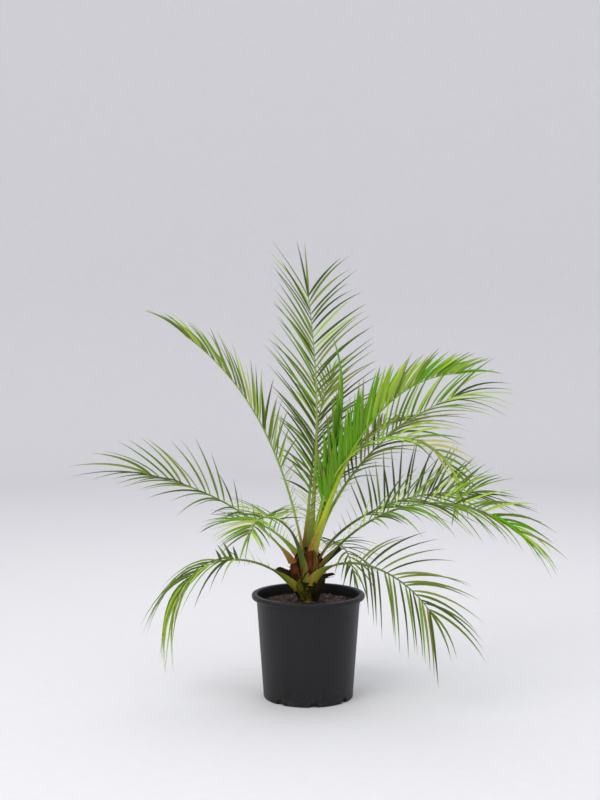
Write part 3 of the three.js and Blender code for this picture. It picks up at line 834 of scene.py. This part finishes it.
# Each row: the height, radius and azimuth of its seat in millimetres and degrees; azimuth
# and elevation that it sets off at, how far it falls by its tip and how late it bends, how
# far it turns; its length, the roll of its blade and the fold of its two rows; then longest
# leaflet, pairs, bare share, droop, angle at the first and last pair, the first pair's
# share of the full length, and its tone of green. A few have more. On the rib: petiole is
# its width, stalk its own tone, and foot how far its clasp is pushed aside. On the leaflets:
# skew is half of how much further one row stands off, fade how much the last pairs shorten,
# blade a leaflet's width and slim how much of it is lost by the tip, crowd how much closer
# the first pairs stand, until the share where they end, tip the last pair over the longest,
# ripe the share where yellow ones start, spines how many pairs of them, and cropped the
# place and length of leaflets that were cut short.
FRONDS = [
    dict(name="low_left", height=26, radius=26, seat=228, azimuth=189, rise=44, fall=110, bend=1.38,
         turn=0, length=260, roll=40, fold=12, leaf=130, pairs=15, bare=0.48, droop=0.6,
         open=30, close=9, first=0.2, tone="olive", stalk="dusky", fade=0, skew=-8,
         cropped=((0.49, 34), (0.52, 42), (0.56, 38), (0.60, 30))),
    dict(name="low_right", height=34, radius=26, seat=280, azimuth=334, rise=88, fall=139, bend=0.48,
         turn=0, length=270, roll=-62, fold=6, leaf=124, pairs=15, bare=0.4, droop=0.32,
         open=62, close=24, first=0.75, tone="deep", stalk="dusky", fade=0, tip=0.75),
    dict(name="low_back", height=40, radius=20, seat=76, azimuth=68, rise=40, fall=105, bend=1.2,
         turn=0, length=270, roll=0, fold=12, leaf=95, pairs=14, bare=0.36, droop=0.2,
         open=62, close=18, first=0.6, tone="deep"),
    dict(name="near_left", height=66, radius=16, seat=235, azimuth=204, rise=92, fall=125, bend=0.89,
         turn=55, length=227, roll=0, fold=15, leaf=92, pairs=22, bare=0.5, droop=0.12,
         open=84, close=28, first=0.8, tone="pale", stalk="deep", blade=3.8, foot=(4, -14, -26)),
    dict(name="near_right", height=58, radius=20, seat=325, azimuth=334, rise=52, fall=88, bend=1.32,
         turn=0, length=423, roll=-48, fold=12, leaf=126, pairs=30, bare=0.3, droop=0.28,
         open=62, close=8, first=0.5, skew=-14, tone="fresh", stalk="deep", fade=0.3, tip=0.8),
    dict(name="mid_left", height=58, radius=24, seat=225, azimuth=202, rise=58, fall=45, bend=0.86,
         turn=0, length=336, roll=44, fold=14, leaf=128, pairs=13, bare=0.46, droop=0.16,
         open=60, close=12, first=0.5, tone="grey", stalk="rusty", tip=1.15, skew=8, foot=(-11, 3, 15)),
    dict(name="mid_right", height=70, radius=16, seat=10, azimuth=33, rise=79, fall=86, bend=0.36,
         turn=0, length=400, roll=-46, fold=20, leaf=138, pairs=25, bare=0.32, droop=0.06,
         open=72, close=24, first=0.5, tone="deep"),
    dict(name="mid_back", height=74, radius=16, seat=140, azimuth=145, rise=46, fall=66, bend=1.2,
         turn=0, length=200, roll=0, fold=18, leaf=75, pairs=12, bare=0.36, droop=0.1,
         open=60, close=20, first=0.6, tone="fresh", blade=3.4),
    dict(name="bowed_right", height=84, radius=12, seat=335, azimuth=343, rise=86.5, fall=186, bend=1.66,
         turn=0, length=472, roll=-44, fold=12, leaf=98, pairs=17, bare=0.44, droop=0.12,
         open=40, close=14, first=0.6, tone="lime", petiole=10, fade=0.5, tip=0.4),
    dict(name="high_right", height=88, radius=10, seat=20, azimuth=12, rise=73, fall=54, bend=1.02,
         turn=0, length=402, roll=-40, fold=12, leaf=130, pairs=24, bare=0.34, droop=0.2,
         open=52, close=24, first=0.6, tone="olive", fade=0, petiole=10),
    dict(name="back_right", height=86, radius=10, seat=60, azimuth=55, rise=68, fall=70, bend=1.2,
         turn=0, length=400, roll=0, fold=18, leaf=118, pairs=20, bare=0.32, droop=0.1,
         open=60, close=18, first=0.6, tone="deep"),
    dict(name="high_left", height=90, radius=8, seat=190, azimuth=190, rise=77.5, fall=42, bend=1.6,
         turn=0, length=456, roll=8, fold=50, leaf=100, pairs=20, bare=0.34, droop=0.18,
         open=42, close=10, first=0.8, tone="olive"),
    dict(name="high_back", height=92, radius=7, seat=118, azimuth=76, rise=80, fall=58, bend=1.4,
         turn=0, length=400, roll=10, fold=16, leaf=108, pairs=22, bare=0.25, droop=0.1,
         open=56, close=18, first=0.6, tone="grey"),
    dict(name="bright_right", height=92, radius=7, seat=335, azimuth=348, rise=71, fall=71, bend=2.4,
         turn=0, length=446, roll=-10, fold=56, leaf=114, pairs=48, bare=0.2, droop=0.1,
         open=24, close=30, first=0.6, fade=0.45, tone="bright", blade=9, petiole=19, skew=4,
         ripe=0.5, crowd=1.6, slim=0.4, tip=0.7),
    dict(name="tall_back", height=94, radius=4, seat=88, azimuth=60, rise=75, fall=0, bend=1,
         turn=60, length=482, roll=0, fold=5, leaf=152, pairs=33, bare=0.2, droop=0.08,
         open=46, close=36, first=0.55, skew=9, tone="grey", petiole=11, tip=0.75),
]
RIB_TIP = 1.6 * MM
PETIOLE = 6.4
TAPER, BROAD_TAPER = 1.0, 1.8  # a broad petiole narrows sooner
RIB_FLATNESS = 0.85
CLASP_WIDTH = 16 * MM
CLASP_THICK = 3.0 * MM
CLASP_LENGTH = 78 * MM
RIB_SIDES = 14
RIB_RINGS = 70
RIB_CROWDING = 1.25  # the rings stand closer near the foot
RIB_HOLLOW, CLASP_HOLLOW = 0.12, 0.4

# Colours of a rib, at its clasping foot, along its bare petiole and between its leaflets.
RIB_TONES = {
    "grey": ((0.22, 0.24, 0.030), (0.27, 0.33, 0.060), (0.32, 0.39, 0.12)),
    "deep": ((0.10, 0.15, 0.012), (0.07, 0.11, 0.015), (0.16, 0.25, 0.05)),
    "dusky": ((0.30, 0.33, 0.015), (0.10, 0.14, 0.020), (0.15, 0.22, 0.05)),
    "rusty": ((0.36, 0.18, 0.030), (0.24, 0.34, 0.030), (0.26, 0.38, 0.08)),
    "fresh": ((0.34, 0.34, 0.020), (0.20, 0.32, 0.025), (0.22, 0.38, 0.05)),
    "olive": ((0.36, 0.42, 0.04), (0.26, 0.38, 0.05), (0.26, 0.36, 0.08)),
    "lime": ((0.36, 0.45, 0.04), (0.30, 0.45, 0.05), (0.38, 0.50, 0.08)),
    "bright": ((0.46, 0.50, 0.03), (0.40, 0.52, 0.025), (0.20, 0.42, 0.02)),
}


def stalk_finish(tone):
    foot, bare, outer = RIB_TONES[tone]

    def recipe(bench):
        along = bench.node("ShaderNodeAttribute", {"attribute_name": "along"}, output="Fac")
        margin = bench.node("ShaderNodeAttribute", {"attribute_name": "margin"}, output="Fac")
        flecks = bench.speckle(0.003, detail=5.0)
        green = bench.ramp(along + (flecks - 0.5) * 0.05, [(0.03, foot), (0.22, bare), (0.55, outer)])
        dry = bench.mask(along + (flecks - 0.5) * 0.06, 0.15, 0.04) * (margin ** 2)
        rust = bench.ramp(flecks, [(0.3, (0.11, 0.035, 0.010)), (0.7, (0.50, 0.21, 0.05))])
        return {
            "Base Color": bench.blend(dry, green, rust),
            "Roughness": 0.42 + flecks * 0.2,
            "Specular IOR Level": 0.2,
            "Normal": bench.relief(bench.speckle(0.0012, stretch=(1, 1, 0.3)), 0.0003, 0.5),
        }
    return recipe


def rib_parts(habit, line):
    """Points and faces of a rib, with how far along it and how near its margin each is. At
    its foot the rib is broad and lies flat against the trunk; further out it turns to stand
    as its blade does."""
    seat = math.radians(habit["seat"])
    outward = Vector((math.cos(seat), math.sin(seat), 0))
    rings, along_values, margin_values = [], [], []
    for j in range(RIB_RINGS + 1):
        t = (j / RIB_RINGS) ** RIB_CROWDING
        along, side, back = heading(habit, t)
        clasp = max(0.0, 1 - t * habit["length"] * MM / CLASP_LENGTH)
        level = outward.cross(along).normalized()
        side = side.lerp(level, min(1, 1.6 * clasp)).normalized()
        back = side.cross(along)
        petiole = habit.get("petiole", PETIOLE) * MM
        taper = RIB_TIP + (petiole - RIB_TIP) * (1 - t) ** (BROAD_TAPER if "petiole" in habit else TAPER)
        width = taper + CLASP_WIDTH * clasp ** 1.3
        thick = RIB_FLATNESS * taper + CLASP_THICK * clasp ** 2
        centre = place_on(line, t) + Vector(habit.get("foot", (0, 0, 0))) * (MM * clasp ** 1.5)
        hollow = RIB_HOLLOW + CLASP_HOLLOW * clasp
        rings.append(section(centre, side, back, width, thick, hollow, RIB_SIDES))
        along_values += [t] * RIB_SIDES
        margin_values += [abs(math.cos(2 * math.pi * k / RIB_SIDES)) for k in range(RIB_SIDES)]
    return (*skin(rings, capped=True), {"along": along_values, "margin": margin_values})


def nodes_of(habit):
    """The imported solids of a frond, which is one or two."""
    name = "frond_" + habit["name"]
    return [node for node in (name, name + "_inner", name + "_outer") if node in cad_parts]


stalk_finishes = {tone: material_of("stalk_" + tone, stalk_finish(tone)) for tone in RIB_TONES}
lines = {}
for habit in FRONDS:
    lines[habit["name"]] = centre_line(habit)
    points, faces, values = rib_parts(habit, lines[habit["name"]])
    rib = piece_from("rib_" + habit["name"], points, faces, crease=1.2)
    for name, numbers in values.items():
        rib.data.attributes.new(name, "FLOAT", "POINT").data.foreach_set("value", numbers)
    rib.data.materials.append(stalk_finishes[habit.get("stalk", habit["tone"])])
    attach(rib, "root")
    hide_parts(*nodes_of(habit))


# --------------------------------------------------------------------- leaflets
# A leaflet is a stiff narrow blade, folded along its midrib like a gutter, that ends in a
# hair-fine point, arches a little and droops under its own weight. Short spines stand on the
# bare petiole. One blade is made; nodes set it along every rib, bend it and colour it.

LEAF_WIDTH = 4.2
SPINE_WIDTH = 1.5
SPINE_PAIRS = 6
SPINE_LENGTHS = (10, 52)
SPINE_ANGLE, SPINE_STRAY = 58, 14
SPINE_DROOP = 0.04
CROPPED_WIDTH = 5.5
CROPPED_ANGLE, CROPPED_STRAY = 78, 12
GROWN_BY, FADING_FROM = 0.35, 0.4  # shares of the bladed part
FADE = 0.2
ROW_LAG = 0.25  # one row stands this share of a step further out, the other further in
TIP_PLACE, TIP_ANGLE, TIP_LENGTH = 0.985, 4, 0.9
BLADE_STATIONS = [(0, 0.42), (0.04, 0.60), (0.10, 0.84), (0.19, 1.0), (0.31, 1.0), (0.45, 0.90),
                  (0.59, 0.72), (0.72, 0.52), (0.84, 0.32), (0.93, 0.15)]
BLADE_FOLD = (0.30, 0.10)
BLADE_THICK = 0.085
LEAF_ARCH = 0.045
LEAF_SCATTER = {"angle": 5, "length": 0.10, "droop": 0.5, "fold": 11, "twist": 26, "place": 0.22}

# Each finish is its blade's upper colour; its underside is a paler, greyer one.
LEAF_FINISHES = [
    ("leaf_deep", (0.080, 0.118, 0.024)),
    ("leaf_green", (0.142, 0.222, 0.032)),
    ("leaf_olive", (0.250, 0.300, 0.056)),
    ("leaf_fresh", (0.200, 0.350, 0.034)),
    # leaf_bright and leaf_lime are partly the young leaflets' own yellow-green and partly painted light: they
    # are raised to stand in for light shining through the thin blades.
    ("leaf_bright", (0.120, 0.420, 0.001)),
    ("leaf_lime", (0.400, 0.590, 0.060)),
    ("leaf_straw", (0.560, 0.540, 0.150)),
]
UNDERSIDE = (0.155, 0.25, 0.035)
# How often each tone of frond takes each finish, in the order above.
TONE_SHARES = {
    "grey": (3.4, 5.5, 4.5, 1.2, 0, 0.6, 0.2),
    "deep": (6, 4, 3.5, 0.3, 0, 0, 0),
    "fresh": (1.5, 4.5, 1.5, 4, 0.2, 1.2, 0),
    "olive": (2, 3, 4.5, 1, 0, 2.6, 0.8),
    "lime": (0, 1, 3, 2, 1, 4, 1),
    "ripe": (0, 1, 0.6, 2, 1.5, 5, 0.4),
    "bright": (0, 0.5, 0, 2, 9, 0.5, 0),
    "pale": (0.5, 2, 1, 4, 1, 3, 0.5),
    "spine": (0, 1, 2, 0, 0, 4, 4),
    "cropped": (4, 2, 0, 0, 0, 0, 0),
}
# Past this share of its blade, a frond of these tones yellows this often.
RIPE_FROM = 0.72
RIPENESS = {"olive": 0.6, "lime": 0.5, "fresh": 0.25, "bright": 0.8}
# This share of the leaflets has a dry tip, which starts somewhere between these two shares.
DRY_TIPS, DRY_FROM, NO_TIP = 0.45, (0.8, 0.96), 2.0


def blade_mesh():
    """One blade, a unit long up Z and a unit wide at its widest, open side towards +Y. Its
    points keep their share of the length, and its faces whether they are the underside."""
    points, faces, shares = [], [], []
    for place, width in BLADE_STATIONS:
        fold = (BLADE_FOLD[0] + (BLADE_FOLD[1] - BLADE_FOLD[0]) * place) * width
        thick = BLADE_THICK * width ** 0.5
        for x, y in ((-0.5, fold), (0, 0), (0.5, fold), (0.5, fold - 0.4 * thick), (0, -1.5 * thick),
                     (-0.5, fold - 0.4 * thick)):
            points.append((x * width, y, place))
            shares.append(place)
    points.append((0, 0, 1))
    shares.append(1)
    rows, under = len(BLADE_STATIONS), []
    for j in range(rows - 1):
        for k in range(6):
            m = (k + 1) % 6
            faces.append((6 * j + k, 6 * j + 6 + k, 6 * j + 6 + m, 6 * j + m))
            under.append(int(k in (3, 4)))
    for k in range(6):
        faces.append((6 * rows - 6 + k, 6 * rows, 6 * rows - 6 + (k + 1) % 6))
        under.append(int(k in (3, 4)))
    faces += [(0, 1, 4, 5), (1, 2, 3, 4)]
    under += [1, 1]
    mesh = bpy.data.meshes.new("blade")
    mesh.from_pydata(points, [], faces)
    mesh.attributes.new("share", "FLOAT", "POINT").data.foreach_set("value", shares)
    mesh.attributes.new("under", "INT", "FACE").data.foreach_set("value", under)
    return mesh


def leaf_finish(colour):
    def recipe(bench):
        veins = bench.speckle(0.0009, stretch=(1, 1, 0.3), detail=2.0)
        return {
            "Base Color": (*colour, 1),
            "Roughness": 0.46 + bench.speckle(0.01) * 0.22,
            "Specular IOR Level": 0.10,
            "Normal": bench.relief(veins, 0.00012, 0.5),
        }
    return recipe


def paler(colour):
    """The underside of a leaf of that colour."""
    return tuple(0.55 * c + 0.45 * u * (0.5 + 1.2 * sum(colour)) for c, u in zip(colour, UNDERSIDE))


leaf_finishes = [material_of(name, leaf_finish(colour)) for name, colour in LEAF_FINISHES]
leaf_finishes += [material_of(name + "_under", leaf_finish(paler(colour)))
                  for name, colour in LEAF_FINISHES]
tip_finish = material_of("leaf_tip", leaf_finish((0.36, 0.27, 0.10)))


def leaflet_rows(bench, wires):
    turn, size = stored(bench, "turn", "QUATERNION"), stored(bench, "size", "FLOAT_VECTOR")
    blades = set_out(bench, wires["Blade"], wires["Geometry"], turn, size)
    solid = bench.node("GeometryNodeRealizeInstances", sockets={"Geometry": blades})
    share = stored(bench, "share", "FLOAT")
    bow = bench.vector("SCALE", {
        0: stored(bench, "bow", "FLOAT_VECTOR"), "Scale": share ** wires["Bow power"]})
    arch = bench.vector("SCALE", {
        0: stored(bench, "arch", "FLOAT_VECTOR"), "Scale": share * (1 - share) * 4})
    bent = bench.node("GeometryNodeSetPosition", sockets={
        "Geometry": solid, "Offset": bench.vector("ADD", {0: bow, 1: arch})})
    tone = stored(bench, "tone", "INT") + stored(bench, "under", "INT") * len(LEAF_FINISHES)
    toned = pick(bench, bent, leaf_finishes, tone)
    tip = (share - stored(bench, "tip", "FLOAT")) > 0.0
    return bench.node("GeometryNodeSetMaterial", sockets={
        "Geometry": toned, "Selection": tip, "Material": tip_finish})


def spot(t, row, angle, length, droop, width, tone):
    """Where and how one leaflet or spine stands: share of the rib, row, angle, length and
    width in millimetres, droop, and tone."""
    return {"t": t, "row": row, "angle": angle, "length": length, "droop": droop,
            "width": width * MM, "tone": tone}


def leaflet_places(habit, index):
    """The spots of a frond's leaflets and spines. Leaflets are shorter at both ends of the
    blade, and close up towards its tip."""
    dice = random.Random(40 + index)

    def varied(value, kind):
        return value * (1 + LEAF_SCATTER[kind] * dice.uniform(-1, 1))

    places = []
    pairs, bladed = habit["pairs"], habit.get("until", 1) - habit["bare"]
    for pair in range(pairs):
        u = ((pair + 0.5) / pairs) ** habit.get("crowd", 1)
        growth = habit["first"] + (1 - habit["first"]) * math.sin(0.5 * math.pi * min(u / GROWN_BY, 1))
        fade = 1 - habit.get("fade", FADE) * max(u - FADING_FROM, 0) / (1 - FADING_FROM)
        angle = habit["close"] + (habit["open"] - habit["close"]) * (1 - u)
        slimmer = 1 - habit.get("slim", 0) * u
        for row in (1, -1):
            stray = LEAF_SCATTER["place"] * dice.uniform(-1, 1)
            ripe = u > habit.get("ripe", RIPE_FROM) and dice.random() < RIPENESS.get(habit["tone"], 0)
            places.append(spot(
                habit["bare"] + bladed * (u + (ROW_LAG * row + stray) / pairs), row,
                angle + habit.get("skew", 0) * row + LEAF_SCATTER["angle"] * dice.uniform(-1, 1),
                varied(habit["leaf"] * growth * fade, "length"), varied(habit["droop"], "droop"),
                habit.get("blade", LEAF_WIDTH) * dice.uniform(0.85, 1.12) * slimmer,
                "ripe" if ripe else habit["tone"]))
    for spine in range(habit.get("spines", SPINE_PAIRS)):
        share = spine / (SPINE_PAIRS - 1)
        long = SPINE_LENGTHS[0] + (SPINE_LENGTHS[1] - SPINE_LENGTHS[0]) * share
        for row in (1, -1):
            places.append(spot(
                habit["bare"] * (0.40 + 0.55 * share) + 0.012 * row, row,
                SPINE_ANGLE + SPINE_STRAY * dice.uniform(-1, 1), long * dice.uniform(0.7, 1.1),
                SPINE_DROOP, SPINE_WIDTH, "spine"))
    for t, length in habit.get("cropped", ()):
        angle = CROPPED_ANGLE + CROPPED_STRAY * dice.uniform(-1, 1)
        places.append(spot(t, 1, angle, length, 0, CROPPED_WIDTH, "cropped"))
    for row in (1, -1) if habit.get("tip", 1) else ():
        length = habit.get("tip", TIP_LENGTH) * habit["leaf"]
        places.append(spot(TIP_PLACE, row, TIP_ANGLE, length, habit["droop"], LEAF_WIDTH, habit["tone"]))
    return places


def leaflet_points(habit, index):
    """A mesh of one point for each leaflet, with how nodes turn, size, bend and colour it."""
    dice = random.Random(90 + index)
    line = lines[habit["name"]]
    spots, turns, sizes, bows, arches, tones, tips = [], [], [], [], [], [], []
    for place in leaflet_places(habit, index):
        along, side, back = heading(habit, place["t"])
        fold = math.radians(habit["fold"] + LEAF_SCATTER["fold"] * dice.uniform(-1, 1))
        outward = side * (place["row"] * math.cos(fold)) + back * math.sin(fold)
        angle = math.radians(place["angle"])
        aim = along * math.cos(angle) + outward * math.sin(angle)
        edge = (along - aim * along.dot(aim)).normalized() * place["row"]
        turn = Matrix((edge, aim.cross(edge), aim)).transposed().to_quaternion()
        twist = Matrix.Rotation(math.radians(LEAF_SCATTER["twist"] * dice.uniform(-1, 1)), 3, "Z")
        length = place["length"] * MM
        sag = Vector((0, 0, -1)) + aim * aim.z
        spots.append(place_on(line, place["t"]))
        turns += list(turn @ twist.to_quaternion())
        sizes += [place["width"], place["width"], length]
        bows += list(sag * (length * place["droop"]))
        arches += list(sag * (-length * LEAF_ARCH * dice.uniform(0.3, 1.6)))
        tones.append(dice.choices(range(len(LEAF_FINISHES)), TONE_SHARES[place["tone"]])[0])
        tips.append(dice.uniform(*DRY_FROM) if dice.random() < DRY_TIPS else NO_TIP)
    mesh = bpy.data.meshes.new("places_" + habit["name"])
    mesh.from_pydata(spots, [], [])
    for name, kind, numbers in (
            ("turn", "QUATERNION", turns), ("size", "FLOAT_VECTOR", sizes), ("bow", "FLOAT_VECTOR", bows),
            ("arch", "FLOAT_VECTOR", arches), ("tone", "INT", tones), ("tip", "FLOAT", tips)):
        field = "vector" if kind == "FLOAT_VECTOR" else "value"
        mesh.attributes.new(name, kind, "POINT").data.foreach_set(field, numbers)
    return mesh


def leaflets_on(habit, index):
    """The leaflets of one frond, as a finished piece."""
    leaflets = grow("leaflets_" + habit["name"], leaflet_points(habit, index), leaflet_tree,
                    {"Blade": blade_template, "Bow power": 2.0})
    leaflets.data.shade_smooth()
    leaflets.data.set_sharp_from_angle(angle=0.5)
    return leaflets


blade_template = placed("blade_template", blade_mesh())
leaflet_tree = node_shape("leaflet_rows", {
    "Geometry": "Geometry", "Blade": "Object", "Bow power": "Float"}, leaflet_rows)
for index, habit in enumerate(FRONDS):
    leaflets = leaflets_on(habit, index)
    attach(leaflets, "root")
    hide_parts(*nodes_of(habit))


# ------------------------------------------------------------------------ spear
# The youngest leaf hasn't opened: its leaflets still lie along its rib in a pleated, bright
# green bundle that tapers to a point, and the lowest have started to stand off it.

SPEAR = dict(name="spear", height=96, radius=3, seat=300, azimuth=345, rise=74, fall=-40, bend=3,
             turn=0, length=397, roll=0, fold=38, leaf=100, pairs=24, bare=0.22, droop=0.03,
             open=30, close=8, first=0.8, fade=0.5, until=0.7, tone="bright", blade=7.5,
             spines=0, tip=0)
SPEAR_WIDTH = 9.5 * MM
SPEAR_FLATNESS = 0.6
SPEAR_RINGS, SPEAR_SIDES = 60, 36
PLEATS, PLEAT_DEPTH, PLEAT_TWIST = 9, 0.10, 5
lines["spear"] = centre_line(SPEAR)
spear_rings = []
for j in range(SPEAR_RINGS + 1):
    t = j / SPEAR_RINGS
    along, side, back = heading(SPEAR, t)
    swelling = 0.62 + 0.5 * math.sin(math.pi * t) - 0.3 * t
    half = 0.5 * SPEAR_WIDTH * swelling * min(1, 12 * (1.01 - t))
    ring = []
    for k in range(SPEAR_SIDES):
        angle = 2 * math.pi * k / SPEAR_SIDES
        out = half * (1 + PLEAT_DEPTH * math.sin(PLEATS * angle + PLEAT_TWIST * t))
        ring.append(place_on(lines["spear"], t) + side * (out * math.cos(angle))
                    - back * (out * SPEAR_FLATNESS * math.sin(angle)))
    spear_rings.append(ring)
spear = piece_from("spear_bundle", *skin(spear_rings, capped=True), crease=1.2)


def pleated_green(bench):
    pleats = bench.speckle(0.0016, stretch=(1, 1, 0.06))
    return {
        "Base Color": bench.ramp(pleats, [(0.3, (0.05, 0.20, 0.010)), (0.7, (0.20, 0.46, 0.03))]),
        "Roughness": 0.42 + pleats * 0.15,
        "Normal": bench.relief(pleats, 0.0004, 0.6),
    }


spear.data.materials.append(material_of("pleated_green", pleated_green))
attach(spear, "root")
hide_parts("frond_spear")

opening = leaflets_on(SPEAR, 20)
bpy.data.objects.remove(blade_template)
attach(opening, "root")
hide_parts("frond_spear")


# -------------------------------------------------------- floor, lights, camera
# A plain pale floor of matt paper that sweeps up all round into a wall, soft square lights
# above it on both sides and behind, and the camera in front at the height of the upper fronds.

COVE_FLAT = 3.7
COVE_RADIUS = 0.9
COVE_TOP = 3.4
COVE_SIDES = 128

cove_profile = [(0, 0), (0.5 * COVE_FLAT, 0)]
cove_profile += arc((COVE_FLAT, COVE_RADIUS), COVE_RADIUS, -90, 0, 24)
cove_profile.append((COVE_FLAT + COVE_RADIUS, COVE_TOP))
cove_points, cove_faces = turned(cove_profile, COVE_SIDES)
cove = piece_from("studio_cove", cove_points, [face[::-1] for face in cove_faces], crease=3.0)


def matt_paper(bench):
    grain = bench.speckle(0.02)
    return {
        "Base Color": bench.ramp(grain, [(0.2, (0.81, 0.805, 0.82)), (0.8, (0.84, 0.835, 0.85))]),
        "Roughness": 0.8 + grain * 0.1,
    }


cove.data.materials.append(material_of("matt_paper", matt_paper))


def soft_light(name, place, target, size, power, colour):
    """A square area light that faces a target."""
    lamp = bpy.data.lights.new(name, "AREA")
    lamp.size, lamp.energy, lamp.color = size, power, colour
    holder = placed(name, lamp)
    holder.location = place
    holder.rotation_euler = (Vector(target) - Vector(place)).to_track_quat("-Z", "Y").to_euler()


soft_light("key_light", (-1.5, -1.8, 2.4), (0, 0, 0.4), 1.8, 32, (1.0, 0.99, 0.97))
soft_light("fill_light", (1.9, -1.5, 1.4), (0, 0, 0.4), 1.8, 6, (0.97, 0.98, 1.0))
soft_light("top_light", (0.3, 0.9, 2.6), (0, 0, 0.4), 1.6, 13, (1.0, 1.0, 1.0))

world = bpy.data.worlds.new("studio_air")
world.use_nodes = True
air = world.node_tree.nodes["Background"]
air.inputs["Color"].default_value = (0.90, 0.91, 0.95, 1)
air.inputs["Strength"].default_value = 0.86
bpy.context.scene.world = world
bpy.context.scene.view_settings.view_transform = "Standard"

CAMERA_PLACE = (-0.015, -2.300, 0.649)
CAMERA_PITCH = -2.76
CAMERA_LENS = 57.56
view = bpy.data.cameras.new("camera")
view.lens, view.sensor_width = CAMERA_LENS, 36
camera = placed("camera", view)
camera.location = CAMERA_PLACE
camera.rotation_euler = (math.radians(90 + CAMERA_PITCH), 0, 0)
bpy.context.scene.camera = camera

bpy.context.view_layer.update()
